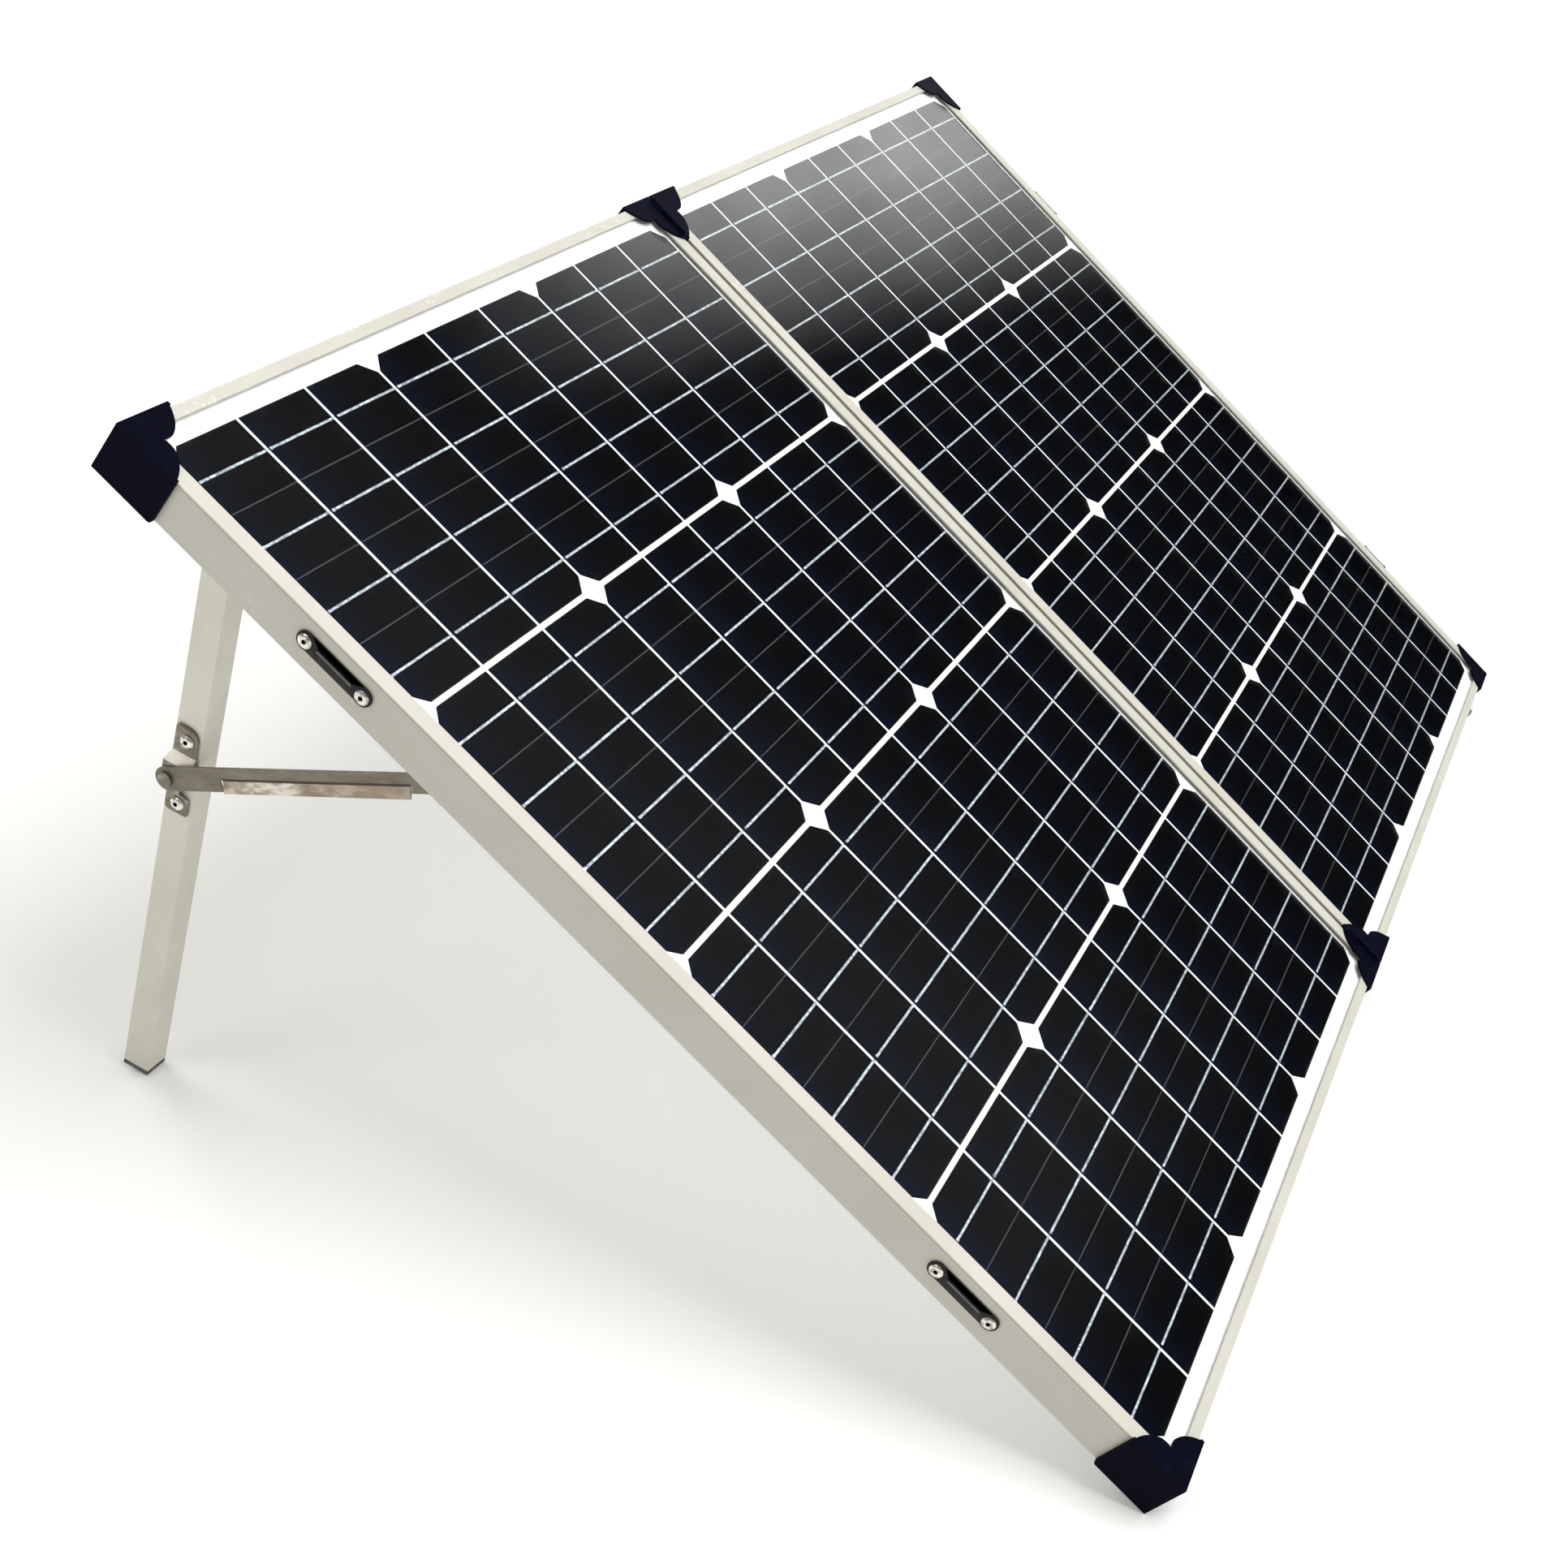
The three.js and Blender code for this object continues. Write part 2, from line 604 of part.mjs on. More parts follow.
function farSideFittings() {
  const fittings = [];
  for (const [name, end] of [['upper', 1], ['lower', -1]]) {
    const at = [OUTER, end * KEEPER.fromMiddle, -LATCH.depth];
    fittings.push(piece(`${name}_latch_base`, latchBase(), stainless, at));
    fittings.push(piece(`${name}_latch_lever`, latchLever(), stainless, at));
    fittings.push(piece(`${name}_handle_mount`, handleMount(), blackPlastic,
      [OUTER, end * HANDLE.halfSpan, -HANDLE.depth]));
  }
  const bail = new THREE.Group();
  bail.name = 'handle_pivot';
  bail.position.set(OUTER + HANDLE.standoff, 0, -HANDLE.depth);
  bail.add(piece('carry_handle_bail', handleBail(), stainless));
  bail.add(piece('carry_handle_grip', handleGrip(), darkRubber));
  fittings.push(bail);
  const { fromSide, radius, endRadius, height, depth } = BUMPER;
  const bumper = new THREE.CylinderGeometry(radius, endRadius, height, 32);
  fittings.push(piece('bottom_bumper', bumper, greyRubber,
    [OUTER - fromSide, -TOP - FIT - height / 2, -depth]));
  return fittings;
}

// ---------------------------------------------------------------- assembly

// Tilt at which the front corner of each foot and the lower back edge of the
// protectors stand on one level floor.
function standingTilt() {
  const angle = THREE.MathUtils.degToRad(LEG.openAngle);
  const end = LEG.length + FIT + 2.5;
  const half = LEG.section / 2;
  const footY = TOP - LEG.pivotFromTop - end * Math.cos(angle) - half * Math.sin(angle);
  const footZ = -LEG.pivotDepth - end * Math.sin(angle) + half * Math.cos(angle);
  const edgeY = -TOP - FIT - PROTECTOR.wall;
  const edgeZ = -PANEL.depth - FIT - PROTECTOR.leaf;
  return Math.atan2(edgeZ - footZ, footY - edgeY);
}

function solarPanel() {
  const panels = new THREE.Group();
  panels.name = 'panels';
  panels.rotation.x = standingTilt();
  for (const [side, prefix] of [[-1, 'near'], [1, 'far']]) {
    panels.add(...frame(side, prefix));
    panels.add(...laminate(side, prefix));
    panels.add(...protectors(side, prefix));
    panels.add(...legSet(side, prefix));
    panels.add(...junctionBox(side, prefix));
  }
  panels.add(...hingePins());
  panels.add(...nearSideFittings());
  panels.add(...farSideFittings());

  const whole = new THREE.Group();
  whole.name = 'solar_panel';
  whole.add(panels);
  const bounds = new THREE.Box3().setFromObject(whole, true);
  const centre = bounds.getCenter(new THREE.Vector3());
  panels.position.set(-centre.x, -centre.y, -bounds.min.z);
  return whole;
}

export default solarPanel();
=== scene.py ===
import json
import math
import random
from functools import partial

import bmesh
import bpy
from mathutils import Matrix, Quaternion, Vector


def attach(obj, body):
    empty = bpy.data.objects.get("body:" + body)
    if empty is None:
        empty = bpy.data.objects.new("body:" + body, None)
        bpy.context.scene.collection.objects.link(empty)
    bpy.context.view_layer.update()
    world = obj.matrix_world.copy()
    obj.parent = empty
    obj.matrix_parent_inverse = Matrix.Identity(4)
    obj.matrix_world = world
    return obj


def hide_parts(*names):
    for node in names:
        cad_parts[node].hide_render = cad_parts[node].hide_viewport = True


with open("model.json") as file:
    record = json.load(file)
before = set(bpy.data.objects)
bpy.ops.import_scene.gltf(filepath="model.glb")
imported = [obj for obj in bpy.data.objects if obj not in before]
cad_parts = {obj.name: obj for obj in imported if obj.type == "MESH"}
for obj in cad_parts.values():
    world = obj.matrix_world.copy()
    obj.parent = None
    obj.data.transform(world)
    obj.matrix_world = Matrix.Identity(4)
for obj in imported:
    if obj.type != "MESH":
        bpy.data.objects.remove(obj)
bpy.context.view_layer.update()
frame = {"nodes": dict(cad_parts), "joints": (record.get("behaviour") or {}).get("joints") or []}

NODES = frame["nodes"]
JOINTS = {joint["name"]: joint for joint in frame["joints"]}

# ------------------------------------------------------------------ sizes, millimetres
# Panel frame: x across both panels with 0 in the gap, y up the slope with 0 at mid
# height, z out of the glass with 0 on the front of the frame.

GAP = 4.0
WIDTH = 507.0
HEIGHT = 668.0
OUTER = GAP / 2 + WIDTH
TOP = HEIGHT / 2

HINGE_HEIGHT = 1.8             # of the fold's axis in front of the frame
LEG_OPEN = 68.9                # angle of the leg from the panel, degrees
LEG_INSET = 12.0               # of the leg's outer face from the side of the frame
LEG_PIVOT = (TOP - 57.5, -14.5)

STRIP = 52.0                   # width of a third-cut cell
CELL = 156.75                  # length of a cell
STRIP_PITCH = 53.9
ROW_PITCH = 159.7
STRIPS = 9
ROWS = 4
CHAMFER = 8.4
FIRST_STRIP = 12.0             # from a panel's left edge to its first strip
FIRST_ROW = 16.1               # from a panel's lower edge to its first row
SHEET_MARGIN = 2.2             # from the outside of the frame to the edge of the sheet
CELL_TOP = -4.72
SHEET_TOP = -4.88
SHEET_BACK = -5.1
HAIR = 0.02                    # small overlap or gap between faces that touch
RIBBON_WIDTH = 1.25
RIBBON_THICKNESS = 0.08
RIBBONS_AT = (1, 3, 5, 7)      # in eighths of the cell's length

FINGER_PITCH = 1.6             # printed lines across a cell
LIP_SHADE_LINE = -1.15             # middle of the painted shade line along the front lip
LIP_SHADE_LINE_HALF = 0.22
SIDE_SHADE_BELOW = -1.37        # where the painted shade on the side faces begins

KEEPER_UP = 199.5              # of a latch keeper's middle from mid height
KEEPER_BACK = 11.5             # behind the front of the frame
KEEPER_PITCH = 34.5            # between the two screws of a latch keeper
KEEPER_BOSS = 1.5              # height of the bosses under the screws
SCREW_RADIUS = 3.8
BRACKET_LIFT = 0.3             # of the leg bracket off its tube
BRACKET_SHEET = 1.2
BRACKET_SCREWS = (112, 149)    # down the leg from its pivot
LID_UP = 205.0                 # middle of the junction box lid
LID_DEPTH = 23.2               # of the lid's face behind the front of the frame
HANDLE_STANDOFF = 6.0          # of the handle's pivot from the side of the frame
HANDLE_DEPTH = 12.5            # of that pivot behind the front of the frame
HANDLE_REACH = 30.0            # from the pivot to the middle of the grip


def panel_matrix():
    """Panel frame in millimetres to the row frame in metres."""
    fold = JOINTS["panel_fold"]
    slope = -Vector(fold["axis"]).normalized()
    across = Vector((1, 0, 0))
    out = across.cross(slope)
    origin = Vector(fold["pos_m"]) - out * HINGE_HEIGHT / 1000
    axes = Matrix((across, slope, out)).transposed().to_4x4()
    return Matrix.Translation(origin) @ axes @ Matrix.Scale(0.001, 4)


PANEL = panel_matrix()


def leg_matrix(side):
    """Leg frame: 0 at the pivot, -y along the tube, x outboard from the tube's outer face."""
    at = Matrix.Translation((side * (OUTER - LEG_INSET), *LEG_PIVOT))
    turn = Matrix.Rotation(math.radians(LEG_OPEN), 4, "X")
    return PANEL @ at @ turn @ Matrix.Diagonal((side, 1, 1, 1))


BRACE_RIVET = (-136.0, -5.8)       # in leg axes
BRACE_OPEN = -118.8                # angle of the strap from the leg, degrees
FLANGE_START = -33.5               # along the strap from its rivet
FLANGE_END = -141.0
CREASE_SHADE_HEIGHT = 0.1                # of the painted shade line in the crease where the flange is bent
CREASE_SHADE_HALF = 0.6
HIGHLIGHT_FADE_REACH = (-70.0, -110.0)    # where the painted highlight on the flange fades to a duller tone
BRACE_FRAME = (leg_matrix(-1) @ Matrix.Translation((0, *BRACE_RIVET))
               @ Matrix.Rotation(math.radians(BRACE_OPEN), 4, "X"))


# ------------------------------------------------------------------ node helpers

def new_material(name):
    material = bpy.data.materials.new(name)
    material.use_nodes = True
    tree = material.node_tree
    tree.nodes.clear()
    output = tree.nodes.new("ShaderNodeOutputMaterial")
    return material, tree, output


def add(tree, kind, inputs=None, **settings):
    node = tree.nodes.new("ShaderNode" + kind)
    for key, value in settings.items():
        setattr(node, key, value)
    for key, value in (inputs or {}).items():
        socket = node.inputs[key]
        if isinstance(value, bpy.types.NodeSocket):
            tree.links.new(value, socket)
        else:
            socket.default_value = value
    return node


def maths(tree, operation, a, b=0.0, clamp=False):
    return add(tree, "Math", {0: a, 1: b}, operation=operation, use_clamp=clamp).outputs[0]


def ramp(tree, value, stops):
    node = add(tree, "ValToRGB", {"Fac": value})
    elements = node.color_ramp.elements
    while len(elements) < len(stops):
        elements.new(0.5)
    for element, (position, colour) in zip(elements, stops):
        element.position = position
        element.color = (*colour, 1)
    return node.outputs["Color"]


def mix(tree, factor, a, b):
    node = add(tree, "Mix", data_type="RGBA")
    for index, value in ((0, factor), (6, a), (7, b)):
        if isinstance(value, bpy.types.NodeSocket):
            tree.links.new(value, node.inputs[index])
        elif index == 0:
            node.inputs[0].default_value = value
        else:
            node.inputs[index].default_value = (*value, 1)
    return node.outputs[2]


def product(tree, a, b, clamp=False):
    return maths(tree, "MULTIPLY", a, b, clamp)


def below(tree, value, limit):
    """1 where the value is under the limit, else 0."""
    return maths(tree, "LESS_THAN", value, limit)


def above(tree, value, limit):
    return maths(tree, "GREATER_THAN", value, limit)


def distance_from(tree, value, middle):
    return maths(tree, "ABSOLUTE", maths(tree, "SUBTRACT", value, middle))


def map_range(tree, value, source=(0.0, 1.0), result=(0.0, 1.0), smooth=False):
    inputs = {"Value": value, "From Min": source[0], "From Max": source[1],
              "To Min": result[0], "To Max": result[1]}
    kind = "SMOOTHSTEP" if smooth else "LINEAR"
    return add(tree, "MapRange", inputs, interpolation_type=kind).outputs[0]


def noise(tree, vector, scale, detail=3.0, roughness=0.5):
    inputs = {"Vector": vector, "Scale": scale, "Detail": detail, "Roughness": roughness}
    return add(tree, "TexNoise", inputs).outputs["Fac"]


def place(tree, turn=(0, 0, 0), stretch=(1, 1, 1)):
    """Object coordinates, turned and then stretched, for grain that follows a piece."""
    start = add(tree, "TexCoord").outputs["Object"]
    turned = add(tree, "Mapping", {"Vector": start, "Rotation": turn}, vector_type="POINT")
    scaled = add(tree, "Mapping", {"Vector": turned.outputs[0], "Scale": stretch})
    return scaled.outputs[0]


def bumped(tree, height, strength, distance):
    inputs = {"Height": height, "Strength": strength, "Distance": distance}
    return add(tree, "Bump", inputs).outputs["Normal"]


def position_along(tree, axes, axis):
    """Position in millimetres along one axis of a frame, taken in the rest position."""
    direction = axes.to_3x3() @ (Vector(axis) * 1000)
    where = add(tree, "TexCoord").outputs["Object"]
    along = add(tree, "VectorMath", {0: where, 1: direction}, operation="DOT_PRODUCT").outputs["Value"]
    from_origin = maths(tree, "SUBTRACT", along, axes.translation.dot(direction))
    return product(tree, from_origin, 1000.0)


def finish_with(tree, output, shader):
    tree.links.new(shader, output.inputs["Surface"])


# ------------------------------------------------------------------ materials

TILT = math.atan2(-JOINTS["panel_fold"]["axis"][2], -JOINTS["panel_fold"]["axis"][1])


def anodised(name, along, turn, shaded_sides=False):
    """Satin anodised aluminium: drawing lines, cloudy wear and clusters of dried drops.
    With its last argument true, painted shade darkens the faces behind the front lip and a painted
    shade line runs just below that lip."""
    material, tree, output = new_material(name)
    stretch = [420.0, 420.0, 420.0]
    stretch["xyz".index(along)] = 9.0
    drawn = noise(tree, place(tree, turn, stretch), 1.0, 4)
    where = place(tree, turn)
    cloud = noise(tree, where, 22.0, 4)
    speck = noise(tree, where, 900.0, 2)
    grit = noise(tree, where, 1900.0, 1)
    base = ramp(tree, cloud, [(0.3, (0.69, 0.675, 0.605)), (0.7, (0.78, 0.765, 0.70))])
    colour = mix(tree, product(tree, drawn, 0.3), base, (0.60, 0.58, 0.50))
    dirt = map_range(tree, grit, source=(0.35, 0.65), result=(0.0, 0.3))
    colour = mix(tree, dirt, colour, (0.50, 0.475, 0.395))
    drops = add(tree, "TexVoronoi", {"Vector": where, "Scale": 240.0}).outputs["Distance"]
    cluster = above(tree, noise(tree, where, 13.0, 1), 0.63)
    dried = product(tree, below(tree, drops, 0.33), cluster)
    colour = mix(tree, product(tree, dried, 0.4), colour, (0.92, 0.90, 0.83))
    if shaded_sides:
        depth = position_along(tree, PANEL, (0, 0, 1))
        # painted shade: the side faces behind the front lip are darkened
        side_shade_mask = below(tree, depth, SIDE_SHADE_BELOW)
        colour = mix(tree, product(tree, side_shade_mask, 0.5), colour, (0.40, 0.39, 0.345))
        # painted shade line: a dark line just below the front lip
        shade_line_mask = below(tree, distance_from(tree, depth, LIP_SHADE_LINE), LIP_SHADE_LINE_HALF)
        colour = mix(tree, product(tree, shade_line_mask, 0.75), colour, (0.16, 0.13, 0.09))
    rough = map_range(tree, speck, result=(0.42, 0.6))
    height = maths(tree, "ADD", product(tree, speck, 0.6), drawn)
    normal = bumped(tree, height, 0.25, 0.00012)
    shader = add(tree, "BsdfPrincipled", {
        "Base Color": colour, "Roughness": rough, "Metallic": 0.15, "Normal": normal})
    finish_with(tree, output, shader.outputs[0])
    return material


STEEL_TONES = [
    (0.3, (0.12, 0.10, 0.072)),
    (0.5, (0.215, 0.195, 0.155)),
    (0.68, (0.48, 0.45, 0.39)),
]
# painted highlight: light tones for the bracket's ramp
RAMP_HIGHLIGHT_TONES = [
    (0.3, (0.58, 0.49, 0.40)),
    (0.5, (0.84, 0.78, 0.70)),
    (0.68, (0.93, 0.89, 0.83)),
]


def stainless(name, turn, stretch=(60.0, 900.0, 900.0), tones=STEEL_TONES, metallic=0.7):
    """Rolled stainless steel with warm stains and brushed lines. tones run from stained to clean; the
    bracket ramp's tones are a painted highlight.
    """
    material, tree, output = new_material(name)
    brushed = noise(tree, place(tree, turn, stretch), 1.0, 3)
    stain = noise(tree, place(tree, turn), 90.0, 5, 0.65)
    steel = ramp(tree, stain, tones)
    rough = map_range(tree, brushed, result=(0.26, 0.5))
    shader = add(tree, "BsdfPrincipled", {
        "Base Color": steel, "Roughness": rough, "Metallic": metallic,
        "Normal": bumped(tree, brushed, 0.3, 0.0001)})
    finish_with(tree, output, shader.outputs[0])
    return material


def plated():
    """Bright plating on screw heads, spotted darker and lighter."""
    material, tree, output = new_material("plated_screws")
    spots = noise(tree, place(tree), 420.0, 3, 0.5)
    colour = ramp(tree, spots, [
        (0.36, (0.34, 0.31, 0.26)),
        (0.48, (0.66, 0.65, 0.61)),
        (0.7, (0.84, 0.83, 0.79))])
    rough = map_range(tree, spots, result=(0.30, 0.16))
    shader = add(tree, "BsdfPrincipled", {
        "Base Color": colour, "Roughness": rough, "Metallic": 1.0,
        "Normal": bumped(tree, spots, 0.2, 0.0001)})
    finish_with(tree, output, shader.outputs[0])
    return material


def strap_steel():
    """The strap's steel with stains: a painted highlight on the bent half, painted shade on the upright
    half and in the crease between them, the highlight fading towards the flange's far end.
    """
    material, tree, output = new_material("bent_strap")
    turn = (-TILT - math.radians(LEG_OPEN + BRACE_OPEN), 0, 0)
    height = position_along(tree, BRACE_FRAME, (0, 0, 1))
    reach = position_along(tree, BRACE_FRAME, (0, 1, 0))
    inside = product(tree, below(tree, reach, FLANGE_START), above(tree, reach, FLANGE_END))
    bent = product(tree, below(tree, height, -0.2), inside)
    crease_shade = below(tree, distance_from(tree, height, CREASE_SHADE_HEIGHT), CREASE_SHADE_HALF)
    crease_shade = product(tree, crease_shade, inside)
    blotch = noise(tree, place(tree, turn, (70, 70, 240)), 1.0, 4, 0.6)
    grain = noise(tree, place(tree, turn, (1500, 1500, 1500)), 1.0, 2)
    # painted shade: the darker copy for the upright half
    shaded_web = ramp(tree, blotch, [
        (0.3, (0.15, 0.132, 0.097)),
        (0.7, (0.235, 0.215, 0.168))])
    # painted highlight: the lighter, stained copy for the bent half
    lit_flange = ramp(tree, blotch, [
        (0.36, (0.33, 0.26, 0.19)),
        (0.52, (0.50, 0.43, 0.34)),
        (0.62, (0.88, 0.82, 0.74))])
    # the painted highlight fades towards the far end of the flange
    highlight_fade = map_range(tree, reach, source=HIGHLIGHT_FADE_REACH, result=(0.0, 0.75))
    lit_flange = mix(tree, highlight_fade, lit_flange, (0.36, 0.29, 0.22))
    colour = mix(tree, bent, shaded_web, lit_flange)
    # painted shade: a dark line in the crease between the upright half and the bent flange
    colour = mix(tree, product(tree, crease_shade, 0.9), colour, (0.05, 0.038, 0.027))
    rough = map_range(tree, grain, result=(0.35, 0.6))
    shader = add(tree, "BsdfPrincipled", {
        "Base Color": colour, "Roughness": rough, "Metallic": 0.35,
        "Normal": bumped(tree, grain, 0.3, 0.0001)})
    finish_with(tree, output, shader.outputs[0])
    return material


def moulded(name, dark, light, rough=(0.42, 0.62), grain=2600.0, shine=0.25):
    """Moulded plastic or rubber with a fine cast grain and scuffed high spots."""
    material, tree, output = new_material(name)
    where = place(tree)
    grain_height = noise(tree, where, grain, 2)
    scuff = noise(tree, where, 140.0, 5, 0.6)
    colour = ramp(tree, scuff, [(0.45, dark), (0.8, light)])
    roughness = map_range(tree, scuff, result=rough)
    shader = add(tree, "BsdfPrincipled", {
        "Base Color": colour, "Roughness": roughness, "Specular IOR Level": shine,
        "Normal": bumped(tree, grain_height, 0.35, 0.0001)})
    finish_with(tree, output, shader.outputs[0])
    return material


def stripe(tree, coordinate, pitch, width):
    """1 on lines of a width, once every pitch, along a coordinate in millimetres."""
    inputs = {0: coordinate, 1: pitch / 2, 2: -pitch / 2}
    wrapped = add(tree, "Math", inputs, operation="WRAP").outputs[0]
    return below(tree, maths(tree, "ABSOLUTE", wrapped), width / 2)


def silicon():
    """Dark blue-black cells with printed fingers, dotted pad rows and a blue bloom."""
    material, tree, output = new_material("silicon_cells")
    uv = add(tree, "UVMap", uv_map="cell_mm")
    across, along, _ = add(tree, "SeparateXYZ", {"Vector": uv.outputs[0]}).outputs
    where = place(tree)
    cloud = noise(tree, where, 16.0, 3)
    sparkle = noise(tree, where, 1500.0, 2)
    left = map_range(tree, across, source=(0.0, 20.0), result=(1.0, 0.0))
    blue = product(tree, left, product(tree, cloud, 1.1), clamp=True)
    body = mix(tree, blue, (0.0002, 0.0002, 0.0006), (0.0011, 0.0034, 0.0115))
    glints = product(tree, above(tree, sparkle, 0.64), 0.25)
    body = mix(tree, glints, body, (0.008, 0.010, 0.020))
    fingers = stripe(tree, across, FINGER_PITCH, 0.09)
    printed = mix(tree, product(tree, fingers, 0.2), body, (0.05, 0.052, 0.06))
    from_middle = maths(tree, "SUBTRACT", along, CELL / 2)
    pad_rows = stripe(tree, from_middle, CELL / 4, 0.55)
    pads = product(tree, pad_rows, stripe(tree, across, FINGER_PITCH, 0.85))
    to_middle = maths(tree, "ABSOLUTE", from_middle)
    inside = below(tree, to_middle, CELL / 2 - 10)
    dots = product(tree, pads, inside)
    dotted = mix(tree, product(tree, dots, 0.45), printed, (0.30, 0.30, 0.31))
    edge = above(tree, to_middle, CELL / 2 - 0.55)
    colour = mix(tree, product(tree, edge, 0.6), dotted, (0.05, 0.038, 0.025))
    shader = add(tree, "BsdfPrincipled", {
        "Base Color": colour, "Roughness": 0.5, "Specular IOR Level": 0.01,
        "Normal": bumped(tree, sparkle, 0.2, 0.00005)})
    finish_with(tree, output, shader.outputs[0])
    return material


def tinned():
    """Solder-coated ribbon, uneven along its length."""
    material, tree, output = new_material("tinned_ribbon")
    lumps = noise(tree, place(tree), 700.0, 3, 0.7)
    colour = ramp(tree, lumps, [
        (0.38, (0.15, 0.17, 0.19)),
        (0.5, (0.42, 0.47, 0.50)),
        (0.64, (0.80, 0.86, 0.87))])
    shader = add(tree, "BsdfPrincipled", {
        "Base Color": colour, "Roughness": 0.42, "Metallic": 0.25,
        "Normal": bumped(tree, lumps, 0.5, 0.0002)})
    finish_with(tree, output, shader.outputs[0])
    return material


def white_sheet(name, warm=0.0):
    """White plastic sheet with a faint weave. warm takes some of its blue away."""
    material, tree, output = new_material(name)
    weave = noise(tree, place(tree), 320.0, 4)
    colour = ramp(tree, weave, [(0.3, (0.84, 0.84, 0.82 - warm)), (0.7, (0.90, 0.90, 0.885 - warm))])
    shader = add(tree, "BsdfPrincipled", {
        "Base Color": colour, "Roughness": 0.6, "Normal": bumped(tree, weave, 0.2, 0.0001)})
    finish_with(tree, output, shader.outputs[0])
    return material


def clear_glass():
    """Low-iron solar glass with a faint rolled texture. Lamps shine through it."""
    material, tree, output = new_material("solar_glass")
    rolled = noise(tree, place(tree), 420.0, 2)
    waves = noise(tree, place(tree), 9.0, 2)
    height = maths(tree, "ADD", product(tree, rolled, 0.015), waves)
    glass = add(tree, "BsdfPrincipled", {
        "Base Color": (0.985, 0.99, 0.99, 1), "Roughness": 0.05, "IOR": 1.45,
        "Transmission Weight": 1.0, "Normal": bumped(tree, height, 0.12, 0.0006)})
    open_way = add(tree, "BsdfTransparent", {"Color": (0.96, 0.97, 0.97, 1)})
    shadow = add(tree, "LightPath").outputs["Is Shadow Ray"]
    both = add(tree, "MixShader", {0: shadow, 1: glass.outputs[0], 2: open_way.outputs[0]})
    finish_with(tree, output, both.outputs[0])
    return material


def floor_material():
    """Pale floor with a slight glow that grows with the distance from the object."""
    material, tree, output = new_material("pale_floor")
    mottle = noise(tree, place(tree), 3.0, 3)
    colour = ramp(tree, mottle, [(0.3, (0.90, 0.90, 0.895)), (0.7, (0.92, 0.92, 0.915))])
    distance = add(tree, "VectorMath", {0: place(tree)}, operation="LENGTH").outputs["Value"]
    glow = map_range(tree, distance, source=(1.2, 3.8), result=(0.13, 0.95), smooth=True)
    shader = add(tree, "BsdfPrincipled", {
        "Base Color": colour, "Roughness": 0.8, "Specular IOR Level": 0.1,
        "Emission Color": colour, "Emission Strength": glow})
    finish_with(tree, output, shader.outputs[0])
    return material


SLOPE_TURN = (-TILT, 0, 0)
LEG_TURN = (-TILT - math.radians(LEG_OPEN), 0, 0)
MATT = (0.7, 0.9)
MATERIAL = {
    "rail_slope": anodised("anodised_rail", "y", SLOPE_TURN, shaded_sides=True),
    "rail_across": anodised("anodised_end_rail", "x", SLOPE_TURN, shaded_sides=True),
    "track": anodised("anodised_track", "y", SLOPE_TURN),
    "leg": anodised("anodised_leg", "y", LEG_TURN),
    "steel": stainless("stainless_strap", LEG_TURN),
    "steel_fitting": stainless("stainless_fitting", SLOPE_TURN, (500.0, 500.0, 500.0)),
    "ramp_highlight": stainless("painted_ramp_highlight", LEG_TURN, tones=RAMP_HIGHLIGHT_TONES, metallic=0.2),
    "strap": strap_steel(),
    "bright": plated(),
    "corner": moulded("navy_corner_plastic", (0.0003, 0.0006, 0.0065), (0.0022, 0.0028, 0.017),
                      shine=0.04),
    "black": moulded("black_plastic", (0.011, 0.011, 0.0105), (0.03, 0.03, 0.028)),
    # painted highlight on the keeper's ridge
    "ridge_highlight": moulded("painted_ridge_highlight", (0.10, 0.12, 0.12), (0.20, 0.24, 0.24)),
    # painted shade for the keeper's recess and the screws' sockets
    "hollow": moulded("painted_recess_shade", (0.0008, 0.0008, 0.0008), (0.002, 0.002, 0.002), shine=0.0),
    "plug": moulded("grey_plug", (0.10, 0.10, 0.095), (0.22, 0.22, 0.21), MATT),
    "bumper": moulded("grey_rubber", (0.17, 0.20, 0.18), (0.30, 0.34, 0.31), MATT, grain=1700.0),
    "rubber": moulded("dark_rubber", (0.014, 0.014, 0.014), (0.05, 0.05, 0.048), MATT, grain=1700.0),
    "cells": silicon(),
    "ribbon": tinned(),
    "sheet": white_sheet("encapsulated_white_sheet"),
    "backsheet": white_sheet("white_backsheet", 0.01),
    "glass": clear_glass(),
}


# ------------------------------------------------------------------ mesh helpers

def make_piece(name, mesh_builder, materials, body, matrix, bevel=0.0, smooth=True):
    """A mesh object from a bmesh filled by mesh_builder, placed and tied to a body."""
    bm = bmesh.new()
    mesh_builder(bm)
    bmesh.ops.transform(bm, matrix=matrix, verts=bm.verts)
    if matrix.determinant() < 0:
        bmesh.ops.reverse_faces(bm, faces=bm.faces)
    mesh = bpy.data.meshes.new(name)
    bm.to_mesh(mesh)
    bm.free()
    for material in materials:
        mesh.materials.append(material)
    piece = bpy.data.objects.new(name, mesh)
    bpy.context.scene.collection.objects.link(piece)
    if bevel:
        soften(piece, bevel)
    if smooth:
        mesh.shade_smooth()
        piece.modifiers.new("crisp", "EDGE_SPLIT").split_angle = math.radians(35)
    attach(piece, body)
    return piece


def soften(piece, width):
    """Rounds the sharp edges of a piece, by a width in metres."""
    bevel = piece.modifiers.new("rounded_edges", "BEVEL")
    bevel.width = width
    bevel.segments = 2
    bevel.limit_method = "ANGLE"
    bevel.angle_limit = math.radians(40)
    bevel.harden_normals = False
    bevel.use_clamp_overlap = True


